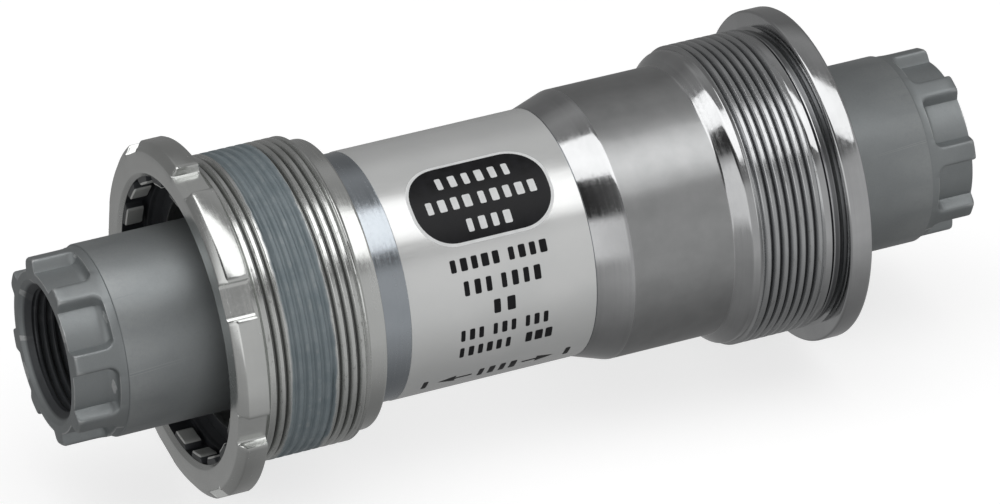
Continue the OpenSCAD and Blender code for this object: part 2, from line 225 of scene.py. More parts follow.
class Nodes:
    """A short way to write a node material."""

    def __init__(self, name):
        self.material = bpy.data.materials.new(name)
        self.material.use_nodes = True
        self.tree = self.material.node_tree
        self.shader = self.tree.nodes["Principled BSDF"]
        self.place = self.tree.nodes.new("ShaderNodeTexCoord").outputs["Object"]

    def link(self, source, target):
        """Joins an output to an input."""
        self.tree.links.new(source, target)

    def feed(self, socket, value):
        """Gives an input either a link or a number."""
        if isinstance(value, bpy.types.NodeSocket):
            self.link(value, socket)
        else:
            socket.default_value = value

    def math(self, operation, a, b=0.0, clamp=False):
        """One sum, product or root."""
        node = self.tree.nodes.new("ShaderNodeMath")
        node.operation = operation
        node.use_clamp = clamp
        self.feed(node.inputs[0], a)
        self.feed(node.inputs[1], b)
        return node.outputs[0]

    def stretched(self, x, y, z):
        """The object's coordinates, scaled by a number along each axis."""
        node = self.tree.nodes.new("ShaderNodeMapping")
        self.link(self.place, node.inputs["Vector"])
        node.inputs["Scale"].default_value = (x, y, z)
        return node.outputs[0]

    def noise(self, scale, detail=3.0, vector=None, rough=0.5):
        """Cloudy noise from 0 to 1."""
        node = self.tree.nodes.new("ShaderNodeTexNoise")
        self.link(vector or self.place, node.inputs["Vector"])
        node.inputs["Scale"].default_value = scale
        node.inputs["Detail"].default_value = detail
        node.inputs["Roughness"].default_value = rough
        return node.outputs["Fac"]

    def spread(self, value, low, high, to_low=0.0, to_high=1.0):
        """Turns low..high into to_low..to_high, and holds the ends."""
        node = self.tree.nodes.new("ShaderNodeMapRange")
        self.feed(node.inputs["Value"], value)
        for label, number in (("From Min", low), ("From Max", high), ("To Min", to_low), ("To Max", to_high)):
            node.inputs[label].default_value = number
        return node.outputs["Result"]

    def mix(self, share, a, b):
        """Colour a where share is 0 and b where it is 1."""
        node = self.tree.nodes.new("ShaderNodeMix")
        node.data_type = "RGBA"
        self.feed(node.inputs["Factor"], share)
        for socket, value in ((node.inputs["A"], a), (node.inputs["B"], b)):
            if isinstance(value, bpy.types.NodeSocket):
                self.link(value, socket)
            else:
                socket.default_value = (*value, 1)
        return node.outputs["Result"]

    def station(self):
        """The X coordinate in millimetres."""
        node = self.tree.nodes.new("ShaderNodeSeparateXYZ")
        self.link(self.place, node.inputs[0])
        return self.math("MULTIPLY", node.outputs["X"], 1 / MM)

    def radius(self):
        """The distance from the X axis in millimetres."""
        node = self.tree.nodes.new("ShaderNodeSeparateXYZ")
        self.link(self.place, node.inputs[0])
        squares = [self.math("MULTIPLY", node.outputs[axis], node.outputs[axis]) for axis in ("Y", "Z")]
        return self.math("MULTIPLY", self.math("SQRT", self.math("ADD", *squares)), 1 / MM)

    def band(self, value, low, high, soft=0.05):
        """1 where value lies between low and high, 0 elsewhere."""
        return self.math("MULTIPLY", self.spread(value, low - soft, low + soft),
                         self.spread(value, high - soft, high + soft, 1.0, 0.0))

    def over(self, share, colour, rough, metallic):
        """Lays another finish over the one so far, where share is 1."""
        for label, value in (("Base Color", colour), ("Roughness", rough), ("Metallic", metallic)):
            socket = self.shader.inputs[label]
            before = socket.links[0].from_socket if socket.links else socket.default_value
            if label == "Base Color":
                self.link(self.mix(share, before, value), socket)
            else:
                away = self.math("MULTIPLY", before, self.math("SUBTRACT", 1.0, share))
                self.link(self.math("ADD", away, self.math("MULTIPLY", share, value)), socket)

    def edges(self, low, high):
        """1 on raised edges, 0 on flat places."""
        node = self.tree.nodes.new("ShaderNodeNewGeometry")
        return self.spread(node.outputs["Pointiness"], low, high)

    def bump(self, height, distance):
        """Fine relief that is distance metres high."""
        node = self.tree.nodes.new("ShaderNodeBump")
        node.inputs["Strength"].default_value = 1.0
        node.inputs["Distance"].default_value = distance
        self.link(height, node.inputs["Height"])
        self.link(node.outputs[0], self.shader.inputs["Normal"])


def turned_metal(name, colour, dark, rough, grain=0.0):
    """Bare metal with fine turning lines round the X axis, handling marks and patchy gloss."""
    n = Nodes(name)
    lines = n.noise(1.0, 2.0, n.stretched(5000, 40, 40))
    broad = n.noise(1.0, 2.0, n.stretched(1200, 15, 15))
    patches = n.noise(160, 4.0)
    specks = n.noise(2600, 3.0)
    tone = n.math("ADD", n.spread(patches, 0.30, 0.72), n.spread(lines, 0.3, 0.7, -0.12, 0.12))
    n.link(n.mix(n.math("ADD", tone, 0.0, True), dark, colour), n.shader.inputs["Base Color"])
    gloss = n.math("ADD", n.spread(lines, 0.3, 0.7, rough - 0.05, rough + 0.05),
                   n.spread(patches, 0.35, 0.7, -0.02, 0.03))
    n.link(n.math("ADD", gloss, n.spread(specks, 0.4, 0.7, -0.02, 0.04 + grain)),
           n.shader.inputs["Roughness"])
    height = n.math("ADD", n.math("ADD", lines, n.math("MULTIPLY", broad, 1.4)),
                    n.math("MULTIPLY", specks, 0.2 + 4 * grain))
    n.bump(height, 6e-7)
    n.shader.inputs["Metallic"].default_value = 1.0
    return n


def plastic(name, colour, dark, rough):
    """Moulded plastic or rubber with a fine grain."""
    n = Nodes(name)
    cloud = n.noise(300, 4.0)
    fine = n.noise(5000, 2.0)
    n.link(n.mix(n.spread(cloud, 0.35, 0.65), dark, colour), n.shader.inputs["Base Color"])
    n.link(n.spread(fine, 0.3, 0.7, rough - 0.08, rough + 0.1), n.shader.inputs["Roughness"])
    n.bump(n.math("ADD", fine, cloud), 8e-6)
    return n


def spindle_finish():
    """Matt grey phosphated steel with worn, lighter edges, and painted shade down the bore."""
    n = Nodes("phosphated_steel")
    cloud = n.noise(140, 5.0, rough=0.6)
    fine = n.noise(5200, 3.0)
    mottled = n.noise(1400, 4.0, rough=0.7)
    base = n.mix(n.spread(cloud, 0.3, 0.7), (0.270, 0.287, 0.292), (0.310, 0.327, 0.332))
    base = n.mix(n.spread(mottled, 0.55, 0.8, 0.0, 0.3), base, (0.235, 0.248, 0.252))
    worn = n.math("MULTIPLY", n.edges(0.53, 0.562), n.spread(mottled, 0.3, 0.6, 0.4, 0.9), True)
    n.link(n.mix(worn, base, (0.60, 0.61, 0.61)), n.shader.inputs["Base Color"])
    n.link(n.spread(fine, 0.3, 0.7, 0.42, 0.52), n.shader.inputs["Roughness"])
    n.bump(n.math("ADD", fine, n.math("MULTIPLY", mottled, 0.5)), 2.5e-6)
    n.shader.inputs["Metallic"].default_value = 0.75
    # Painted shade: the bore and its bolt threads are painted near black, fading out by radius.
    bore_shade = n.math("MULTIPLY", n.spread(n.radius(), *BORE_SHADE_R, 1.0, 0.0), 0.94)
    n.over(bore_shade, n.mix(mottled, (0.020, 0.022, 0.026), (0.045, 0.048, 0.052)), 0.42, 0.3)
    return n.material


def nicked(n, share):
    """Small dull nicks and rubbed spots, where share is 1."""
    spots = n.spread(n.noise(1.0, 5.0, n.stretched(2600, 700, 700), 0.75), 0.56, 0.66, 0.0, 0.75)
    n.over(n.math("MULTIPLY", share, spots), (0.30, 0.30, 0.29), 0.45, 0.9)


def adapter_finish(front, thread_left, thread_right, coat_left, coat_right):
    """Satin alloy with painted shade in the grooves and the tool recess, and a band of dried thread-lock."""
    n = turned_metal("satin_alloy", (0.74, 0.75, 0.735), (0.66, 0.67, 0.655), 0.2)
    x, r = n.station(), n.radius()
    blotch = n.noise(420, 4.0)
    # Painted shade: the thread grooves are darkened by radius.
    grooves = n.math("MULTIPLY", n.band(x, thread_left, thread_right), n.spread(r, *GROOVE_R, 0.85, 0.0))
    n.over(grooves, (0.16, 0.165, 0.16), 0.42, 0.8)
    nicked(n, n.math("MULTIPLY", n.band(x, thread_left, thread_right), n.spread(r, *NICK_R)))
    # Painted shade: inside the tool recess the slots, walls and floor are painted near black.
    recess_shade = n.math("MULTIPLY", n.band(x, front + 0.46, front + 4.5), n.spread(r, *PILOT_R, 1.0, 0.0))
    n.over(recess_shade, n.mix(blotch, (0.020, 0.022, 0.026), (0.040, 0.043, 0.047)), 0.6, 0.2)
    # The tooth crests are left out of the painted shade and get a pale matt alloy finish.
    crests = n.math("MULTIPLY", n.band(x, front + 0.45, front + 2.52), n.spread(r, 15.68, 15.75, 1.0, 0.0))
    n.over(crests, n.mix(blotch, (0.60, 0.605, 0.585), (0.72, 0.725, 0.70)), 0.5, 0.3)
    wander = n.math("ADD", x, n.spread(n.noise(260, 3.0), 0.3, 0.7, -0.14, 0.14))
    coat = n.math("MULTIPLY", n.band(wander, coat_left, coat_right, 0.12), n.spread(r, *PILOT_R))
    worn = n.math("MULTIPLY", n.spread(r, 17.33, 17.42),
                  n.spread(n.noise(900, 4.0), 0.5, 0.75, 0.0, 0.2))
    paint = n.mix(n.spread(blotch, 0.35, 0.65), (0.175, 0.212, 0.230), (0.215, 0.252, 0.270))
    n.over(n.math("MULTIPLY", coat, n.math("SUBTRACT", 1.0, worn)), paint, 0.5, 0.05)
    return n.material


def label_finish():
    """Bright printed foil with a faint roll grain."""
    n = Nodes("label_foil")
    grain = n.noise(1.0, 2.0, n.stretched(300, 3500, 3500))
    cloud = n.noise(120, 4.0)
    n.link(n.mix(n.spread(cloud, 0.35, 0.65), (0.80, 0.81, 0.805), (0.85, 0.855, 0.85)),
           n.shader.inputs["Base Color"])
    n.link(n.spread(grain, 0.3, 0.7, 0.19, 0.27), n.shader.inputs["Roughness"])
    n.bump(n.math("ADD", grain, cloud), 3e-7)
    n.shader.inputs["Metallic"].default_value = 0.55
    return n.material


def ink(name, colour, dark, rough):
    """Printed ink with a soft sheen."""
    n = Nodes(name)
    cloud = n.noise(900, 4.0)
    n.link(n.mix(n.spread(cloud, 0.35, 0.65), dark, colour), n.shader.inputs["Base Color"])
    n.link(n.spread(cloud, 0.3, 0.7, rough - 0.06, rough + 0.08), n.shader.inputs["Roughness"])
    n.bump(cloud, 1e-6)
    n.shader.inputs["Specular IOR Level"].default_value = 0.22
    return n.material


# ---------------------------------------------------------------- spindle

SPLINES = 8
POCKET_FLOOR_HALF = 13.7
POCKET_TOP_HALF = 16.7
BOLT_PITCH, BOLT_DEPTH, BOLT_REACH = 1.0, 0.54, 12.75
BOLT_SHAPE = [(0.0, 0.0), (0.12, 0.0), (0.25, 0.28), (0.42, 0.8), (0.52, 1.0), (0.62, 0.8), (0.79, 0.28),
              (0.92, 0.0)]


def spindle():
    """The spindle: pockets between the splines at both ends, a plain body, and threaded mouths."""
    left, right, body_r = span("spindle")
    half = (right - left) / 2
    tip_r, floor_r = body_r - 0.225, body_r - 1.65
    bore_r, minor_r, mouth_r = body_r - 4.15, body_r - 3.94, body_r - 2.65
    pocket, runout, corner, shoulder = 4.85, 0.95, 1.1, 5.8
    face_r, chamfer, crown = 9.0, 1.2, 0.10
    half_step = TURN / SPLINES / 2
    offsets = [0, 4, 8, 11, 12.6, 13.2, 13.7, 14.2, 14.8, 15.4, 16.0, 16.5, 16.9, 17.4, 18.1, 19, 20.5, 22.5]
    skin = Rings(columns((SPLINES, 0, offsets)))
    from_pocket = from_nearest(skin.angles, SPLINES)
    wall = (POCKET_TOP_HALF - np.abs(from_pocket)) / (POCKET_TOP_HALF - POCKET_FLOOR_HALF)
    share = 0.5 * np.clip(wall, 0, 1) + 0.5 * smooth(wall)
    tips = tip_r - crown + crown * smooth((np.abs(from_pocket) - 16.2) / 2.2)

    def outside(depth, top):
        """A ring's radii where a pocket's floor has this radius, and the ribs the radius top."""
        ribs = tips + (top - tip_r)
        return np.minimum(ribs, ribs - share * (ribs - depth))

    def narrowed(back):
        """The columns' angles, drawn together where the pocket's inner corners are rounded."""
        into = np.clip(corner - (pocket - back), 0, corner)
        pinch = (corner - math.sqrt(corner ** 2 - into ** 2)) / math.radians(1) / tip_r
        size = np.interp(np.abs(from_pocket), [0, POCKET_TOP_HALF, half_step],
                         [0, POCKET_TOP_HALF - pinch, half_step])
        return skin.angles - from_pocket + np.sign(from_pocket) * size

    def end(side):
        """(station, radii, angles) rows from the end face inward. side is -1 or 1, for -X or +X."""
        rows = []
        for back, drop in ((0.0, 0.42), (0.06, 0.22), (0.17, 0.08), (0.36, 0.0)):
            rows.append((back, outside(min(floor_r, tip_r - drop), tip_r - drop)))
        for back in (1.2, 2.2, 3.2, pocket - runout):
            rows.append((back, outside(floor_r, tip_r)))
        for k in range(1, 10):
            turn = 90 * k / 9
            back = pocket - runout + runout * sin(turn)
            rows.append((back, outside(floor_r + runout * (1 - cos(turn)), tip_r)))
        rows.append((pocket + 0.05, outside(tip_r - 0.04, tip_r)))
        rows.append((pocket + 0.14, outside(tip_r, tip_r)))
        rows.append((shoulder - 0.12, np.full(len(skin.angles), tip_r)))
        rows.append((shoulder, np.full(len(skin.angles), tip_r + 0.04)))
        rows.append((shoulder + 0.05, np.full(len(skin.angles), body_r - 0.05)))
        rows.append((shoulder + 0.15, np.full(len(skin.angles), body_r)))
        return [(side * (half - back), radii, narrowed(back)) for back, radii in rows]

    def mouth(side):
        """The profile from an end face in to the start of the bolt thread."""
        face = side * half
        return [(face, mouth_r + 0.2, 0), (face, mouth_r, 0.12),
                (face - side * (chamfer - 0.05), minor_r, 0.1), (face - side * chamfer, minor_r, 0)]

    for x, radii, turned in end(-1):
        skin.add(x, radii, turned)
    for x in (-30, -10, 10, 30):
        skin.add(x, body_r)
    for x, radii, turned in reversed(end(1)):
        skin.add(x, radii, turned)
    thread_end = half - BOLT_REACH
    skin.add(half, np.minimum(skin.r[-1], face_r))
    skin.profile(mouth(1), 2)
    skin.screw(half - chamfer, thread_end, minor_r, BOLT_DEPTH, BOLT_PITCH, 1, BOLT_SHAPE, (0.5, 1.2))
    skin.profile([(thread_end, minor_r, 0), (thread_end - 0.5, bore_r, 0.1), (0, bore_r, 0),
                  (0.5 - thread_end, bore_r, 0.1), (-thread_end, minor_r, 0)], 2)
    skin.screw(-thread_end, chamfer - half, minor_r, BOLT_DEPTH, BOLT_PITCH, 1, BOLT_SHAPE, (1.2, 0.5))
    skin.profile(mouth(-1)[::-1], 2)
    skin.add(-half, face_r)
    piece = skin.build("spindle_turned")
    piece.data.materials.append(spindle_finish())
    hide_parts("spindle")
    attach(piece, "spindle_body")


# ---------------------------------------------------------------- cups

TEETH = 20
SLOT_PHASE = 9.0
CUP_PITCH, CUP_DEPTH = 25.4 / 24, 0.6
CREST_R = 17.4
CUP_SHAPE = [(0.0, 0.0), (0.17, 0.0), (0.34, 0.0), (0.41, -0.10), (0.55, -0.72), (0.63, -1.0), (0.71, -1.0),
             (0.79, -0.72), (0.93, -0.10)]
SLOT_OFFSETS = [0, 2.2, 3.05, 3.45, 3.75, 4.05, 4.6, 5.4, 7.2, 9]
NOTCHES = 8
NOTCH_PHASE = 8.4
NOTCH_HALF = 2.05


def tooth_radii(angles, crest_r, root_r):
    """Radii round a tool recess: crest_r on the teeth and root_r in the slots between them."""
    off = np.abs(from_nearest(angles, TEETH, SLOT_PHASE))
    wall = smooth((off - 3.2) / 0.75)
    crown = 0.16 * smooth((off - 3.9) / 1.3)
    return root_r - wall * (root_r - crest_r - 0.16) - crown


def recess(skin, front, way, depth_to_floor, floor_r, crest_r=15.5, root_r=16.35):
    """Rings from a flange's inner rim down past its tool teeth. way is the direction inward."""
    a = skin.angles
    skin.profile([(front, 17.6, 0), (front, 16.85, 0.12), (front + way * 0.45, root_r, 0.05),
                  (front + way * 0.5, root_r, 0)], 3)
    for depth, lift in ((0.5, 0.3), (0.53, 0.12), (0.62, 0.0), (2.3, 0.0), (2.5, 0.06), (2.58, 0.25)):
        skin.add(front + way * depth, np.minimum(tooth_radii(a, crest_r, root_r) + lift, root_r))
    skin.profile([(front + way * 2.6, root_r, 0), (front + way * 3.1, root_r, 0.1),
                  (front + way * 3.12, crest_r, 0.1),
                  (front + way * (depth_to_floor - 0.8), crest_r - 0.1, 0.1),
                  (front + way * depth_to_floor, floor_r, 0)], 3)


def adapter_columns():
    """Columns for the adapter: its tool slots and its spanner notches."""
    notch = [0, 1.6, 3.2, 4.9, 5.5, 5.8, 6.05, 6.3, 6.7, 7.6, 9, 12, 15, 18, 20.5, 22.5]
    return columns((TEETH, SLOT_PHASE, SLOT_OFFSETS), (NOTCHES, NOTCH_PHASE, notch))


def notched(angles, outer_r, floor_r):
    """(radii, angles) of a ring whose rim is cut by square spanner notches with rounded corners."""
    off = from_nearest(angles, NOTCHES, NOTCH_PHASE)
    size = np.abs(off)
    side = np.sign(off)

    def reach(u):
        """How far out the rim is, u off the notch's middle line."""
        return math.sqrt(outer_r ** 2 - u ** 2)

    table = [(0, 0, floor_r), (4.9, NOTCH_HALF - 0.35, floor_r), (5.5, NOTCH_HALF - 0.1, floor_r + 0.08),
             (5.8, NOTCH_HALF, floor_r + 0.34), (6.05, NOTCH_HALF, reach(NOTCH_HALF) - 0.3),
             (6.3, NOTCH_HALF + 0.08, reach(NOTCH_HALF + 0.08) - 0.07),
             (6.7, NOTCH_HALF + 0.3, reach(NOTCH_HALF + 0.3))]
    keys, across, up = (np.array(c, float) for c in zip(*table))
    u = np.interp(size, keys, across)
    v = np.interp(size, keys, up)
    inside = size < 6.7
    radii = np.where(inside, np.minimum(np.hypot(u, v), outer_r), outer_r)
    turn = np.degrees(np.arctan2(u, v)) * side
    return radii, np.where(inside, angles - off + turn, angles)


def left_adapter():
    """The left adapter: notched flange, tool recess, and a thread with a band of thread-lock."""
    front, end, flange_r = span("left_adapter_cup")
    back = front + 3.3
    relief_r, pilot_r, bore_r, lip_r, floor_r = 16.95, 16.6, 14.26, 13.4, 19.1
    thread_left, thread_right = back + 1.25, back + 13.05
    coat_left, coat_right = back + 3.8, back + 9.1
    skin = Rings(adapter_columns())
    a = skin.angles

    def rim(x, r):
        radii, turned = notched(a, r, floor_r)
        skin.add(x, radii, turned)

    skin.add(front, 18.4)
    recess(skin, front, 1, 4.4, 14.9)
    skin.profile([(front + 4.4, 14.9, 0), (front + 4.4, lip_r, 0.2), (front + 5.2, lip_r, 0.1),
                  (front + 5.2, bore_r, 0.05), (end, bore_r, 0.3), (end, pilot_r, 0.35),
                  (thread_right + 0.45, pilot_r, 0.1), (thread_right, CREST_R - 0.12, 0.1),
                  (thread_right - 0.02, CREST_R - 0.1, 0)])

    def fill(x, angles):
        """How much thread-lock is in a groove, with a wavy edge to the band."""
        edge = 0.09 * np.sin(np.radians(angles * 5)) + 0.05 * np.sin(np.radians(angles * 13 + 40))
        full = smooth((x + edge - coat_left) / 0.5) * smooth((coat_right - x + edge) / 0.5)
        return 0.55 * full

    skin.screw(thread_right - 0.02, thread_left, CREST_R, CUP_DEPTH, CUP_PITCH, 1, CUP_SHAPE, (0.6, 0.5),
               fill)
    skin.profile([(thread_left, CREST_R - 0.02, 0), (thread_left - 0.12, relief_r, 0.08),
                  (back + 0.3, relief_r, 0.15), (back, 17.45, 0.05), (back, 18.4, 0)])
    for x, r in ((back, flange_r - 0.35), (back, flange_r - 0.2), (back - 0.06, flange_r - 0.06),
                 (back - 0.2, flange_r), (front + 0.95, flange_r), (front + 0.80, flange_r - 0.02),
                 (front + 0.66, flange_r - 0.12), (front + 0.10, flange_r - 0.86),
                 (front + 0.03, flange_r - 0.97), (front, flange_r - 1.1)):
        rim(x, r)
    piece = skin.build("left_adapter_turned")
    piece.data.materials.append(adapter_finish(front, thread_left, thread_right, coat_left, coat_right))
    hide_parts("left_adapter_cup")
    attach(piece, "left_adapter")


def drive_cup_finish(cone_right, body_right, thread_left, thread_right, seat):
    """Turned steel: satin on the body, polished on the cones and the neck, with painted shade in the thread
    grooves and the relief grooves by the flange.
    """
    n = turned_metal("turned_steel", (0.60, 0.605, 0.61), (0.50, 0.505, 0.51), 0.13)
    x, r = n.station(), n.radius()
    satin = n.band(x, cone_right + 0.15, body_right - 0.1)
    cloud = n.noise(420, 4.0)
    n.over(n.math("MULTIPLY", satin, n.spread(r, 15.3, 15.4)),
           n.mix(n.spread(cloud, 0.3, 0.7), (0.40, 0.405, 0.407), (0.455, 0.46, 0.462)), 0.34, 1.0)
    lands = n.band(x, thread_left, thread_right)
    n.over(n.math("MULTIPLY", lands, 0.5), (0.50, 0.51, 0.52), 0.28, 1.0)
    # Painted shade: the thread grooves are darkened by radius.
    n.over(n.math("MULTIPLY", lands, n.spread(r, *GROOVE_R, 0.8, 0.0)), (0.10, 0.105, 0.11), 0.4, 0.9)
    nicked(n, n.math("MULTIPLY", lands, n.spread(r, *NICK_R, 0.0, 0.8)))
    # Painted shade: the relief grooves between the thread and the flange seat are darkened.
    root = n.math("MULTIPLY", n.band(x, thread_right + 0.8, seat - 0.05), n.spread(r, 17.0, 17.1, 1.0, 0.0))
    n.over(root, (0.26, 0.265, 0.27), 0.35, 1.0)
    return n.material


def drive_cup():
    """The drive side cup: cone, plain body, neck, left-hand thread, ridge and thin flange."""
    left, right, flange_r = span("drive_side_cup")
    relief_r, ridge_r, body_r, neck_r, bore_r = 16.8, 17.2, 15.6, 17.0, 14.2
    cone_right, body_right, neck_left = left + 3.89, left + 16.31, left + 17.94
    seat = right - 2.7
    thread_left, thread_right = left + 18.99, left + 26.79
    skin = Rings(columns((TEETH, SLOT_PHASE, SLOT_OFFSETS)))
    recess(skin, right, -1, 2.95, 15.0)
    skin.profile([(right - 2.95, 15.0, 0), (right - 3.3, 14.6, 0.1), (20.0, 14.6, 0.1),
                  (20.0, bore_r, 0.05),
                  (left, bore_r, 0.03), (left, bore_r + 0.12, 0.03), (cone_right, body_r, 0.25),
                  (body_right, body_r, 0.2), (neck_left, neck_r, 0.25), (thread_left - 0.15, neck_r, 0.1),
                  (thread_left, CREST_R - 0.05, 0.1), (thread_left + 0.02, CREST_R - 0.03, 0)])
    skin.screw(thread_left + 0.02, thread_right, CREST_R, CUP_DEPTH, CUP_PITCH, -1, CUP_SHAPE, (0.5, 0.6))
    skin.profile([(thread_right, CREST_R, 0), (thread_right + 0.75, CREST_R, 0.06),
                  (thread_right + 0.82, relief_r, 0.06), (thread_right + 1.0, relief_r, 0.03),
                  (thread_right + 1.06, ridge_r, 0.06), (thread_right + 1.28, ridge_r, 0.06),
                  (thread_right + 1.36, relief_r, 0.03), (seat - 0.2, relief_r, 0.1), (seat, 17.45, 0.05),
                  (seat, flange_r, 0.3), (right, flange_r, 0.45), (right, 18.4, 0), (right, 17.6, 0)])
    piece = skin.build("drive_cup_turned")
    piece.data.materials.append(drive_cup_finish(cone_right, body_right, thread_left, thread_right, seat))
    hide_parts("drive_side_cup")
    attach(piece, "cartridge")


# ---------------------------------------------------------------- label

SEAM = 262.0  # where the label's lap seam is, in degrees round the spindle
LOOK = 144.9  # where the middle of its print is
STEP_ALONG, STEP_ROUND = 0.5, 0.35  # the longest edges of the print's mesh, along X and round it


def label_sheet():
    """The foil round the sleeve, with one end lapped over the other."""
    left, right, r = span("sleeve_label")
    skin = Rings(columns((1, SEAM, [0, 0.3, 0.6, 1.2, 3, 6]), (90, 0, [0])))
    past = (skin.angles - SEAM) % TURN
    lift = 0.035 * smooth((past - 0.2) / 0.5) * (1 - smooth((past - 14) / 4))
    inner = r - 0.08
    for x, up in ((left, 0.0), (left, 0.055), (left + 0.02, 0.075), (left + 0.06, 0.08), (right - 0.06, 0.08),
                  (right - 0.02, 0.075), (right, 0.055), (right, 0.0)):
        skin.add(x, inner + up + (lift if up > 0.03 else 0))
    piece = skin.build("label_sheet")
    piece.data.materials.append(label_finish())
    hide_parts("sleeve_label")
    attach(piece, "cartridge")


def outline(x, up, length, height, corner, steps=6):
    """Corner-rounded box as (x, arc height) points, both in millimetres, anticlockwise."""
    points = []
    corner = min(corner, length / 2, height / 2)
    for k, (sx, sy) in enumerate(((1, 1), (-1, 1), (-1, -1), (1, -1))):
        for i in range(steps + 1):
            turn = 90 * (k + i / steps)
            points.append((x + sx * (length / 2 - corner) + corner * cos(turn),
                           up + sy * (height / 2 - corner) + corner * sin(turn)))
    return points


def wrapped(name, shapes, r, thick):
    """Thin printed shapes laid on a cylinder. Each shape is a list of (x, arc height) points."""
    work = bmesh.new()
    for shape in shapes:
        points = []
        for (x0, s0), (x1, s1) in zip(shape, shape[1:] + shape[:1]):
            parts = max(1, int(math.hypot(x1 - x0, s1 - s0) / STEP_ALONG))
            points += [(x0 + (x1 - x0) * k / parts, s0 + (s1 - s0) * k / parts) for k in range(parts)]
        corners = [work.verts.new((x, s, 0)) for x, s in points]
        face = work.faces.new(corners)
        top = max(s for _, s in points)
        low = min(s for _, s in points)
        region = {"geom": [face, *face.edges, *face.verts]}
        strips = int((top - low) / STEP_ROUND) + 1
        for k in range(1, strips):
            height = low + (top - low) * k / strips
            geom = [g for g in region["geom"] if g.is_valid]
            region = bmesh.ops.bisect_plane(work, geom=geom, plane_co=(0, height, 0), plane_no=(0, 1, 0),
                                            dist=1e-7)
    bmesh.ops.triangulate(work, faces=[f for f in work.faces if len(f.verts) > 4])
    solid = bmesh.ops.extrude_face_region(work, geom=work.faces[:])
    for v in solid["geom"]:
        if isinstance(v, bmesh.types.BMVert):
            v.co.z = thick
    for v in work.verts:
        turn = math.radians(LOOK) - v.co.y / r
        v.co = Vector((v.co.x, (r + v.co.z) * math.cos(turn), (r + v.co.z) * math.sin(turn))) * MM
    mesh = bpy.data.meshes.new(name)
    work.to_mesh(mesh)
    work.free()
    piece = finish_mesh(name, mesh, 40)
    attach(piece, "cartridge")
    return piece


def row(centre, up, height, words, cell=0.62, gap=0.5, space=1.1):
    """One line of print as plain upright cells: words is how many cells each group has."""
    length = sum(words) * cell + (sum(words) - len(words)) * gap + (len(words) - 1) * space
    x = centre - length / 2
    out = []
    for word in words:
        for k in range(word):
            width = cell * (0.85 + 0.3 * (k * 0.618 % 1))
            out.append(outline(x + cell / 2, up, width, height, 0.16, 3))
            x += cell + gap
        x += space - gap
    return out


def arrow(tip, tail, up, half):
    """A plain arrow along the X axis."""
    way = 1 if tip > tail else -1
    neck = tip - way * 2.1
    return [(tip, up), (neck, up + half), (neck, up + 0.16), (tail, up + 0.16), (tail, up - 0.16),
            (neck, up - 0.16), (neck, up - half)][::-way]


def label_print():
    """A dark emblem with pale bars in it, rows of dark bars under it and a width arrow at the bottom."""
    left, right, r = span("sleeve_label")
    middle = (left + right) / 2
    surface = r + 0.002
    degree = math.radians(1) * r
    emblem_up, emblem_length, emblem_height = 23 * degree, 16.2, 38 * degree
    dark = [outline(middle, emblem_up, emblem_length, emblem_height, 4.2, 14)]
    dark += row(middle, -5.6 * degree, 1.45, (5, 4), 0.78)
    dark += row(middle, -16.6 * degree, 1.7, (3, 4), 0.72, 0.62)
    dark += row(middle, -28 * degree, 1.7, (2,), 0.95, 0.75)
    dark += row(middle, -39.6 * degree, 1.5, (3, 3, 3), 0.6, 0.5)
    dark += row(middle - 2.2, -49.6 * degree, 1.5, (6,), 0.62, 0.5)
    dark += row(middle + 4.3, -49.6 * degree, 1.5, (3,), 0.9, 0.3)
    low = -70.5 * degree
    dark += row(middle + 0.15, low, 1.9, (4,), 0.7, 0.6)
    dark += [arrow(middle - 7.0, middle - 2.9, low, 0.7), arrow(middle + 7.0, middle + 3.2, low, 0.7),
             outline(middle - 8.6, low, 0.6, 1.9, 0.15, 2), outline(middle + 8.7, low, 0.6, 1.9, 0.15, 2)]
    piece = wrapped("label_dark_ink", dark, surface, 0.010)
    piece.data.materials.append(ink("dark_ink", (0.010, 0.010, 0.012), (0.006, 0.006, 0.007), 0.34))
    pale = row(middle, 33.2 * degree, 1.5, (6,), 0.8, 0.8)
    pale += row(middle, 22.2 * degree, 1.5, (4, 5), 0.85, 0.66, 0.9)
    pale += row(middle, 10.8 * degree, 1.5, (4,), 0.8, 0.7)
    piece = wrapped("label_pale_ink", pale, surface + 0.010, 0.006)
    piece.data.materials.append(ink("pale_ink", (0.78, 0.79, 0.79), (0.70, 0.71, 0.71), 0.35))
    ring = [outline(middle, emblem_up, emblem_length + 0.7, emblem_height + 0.7, 4.5, 14)]
    piece = wrapped("label_emblem_edge", ring, surface - 0.001, 0.004)
    piece.data.materials.append(ink("edge_ink", (0.80, 0.81, 0.81), (0.72, 0.73, 0.73), 0.35))


# ---------------------------------------------------------------- carried-over CAD nodes

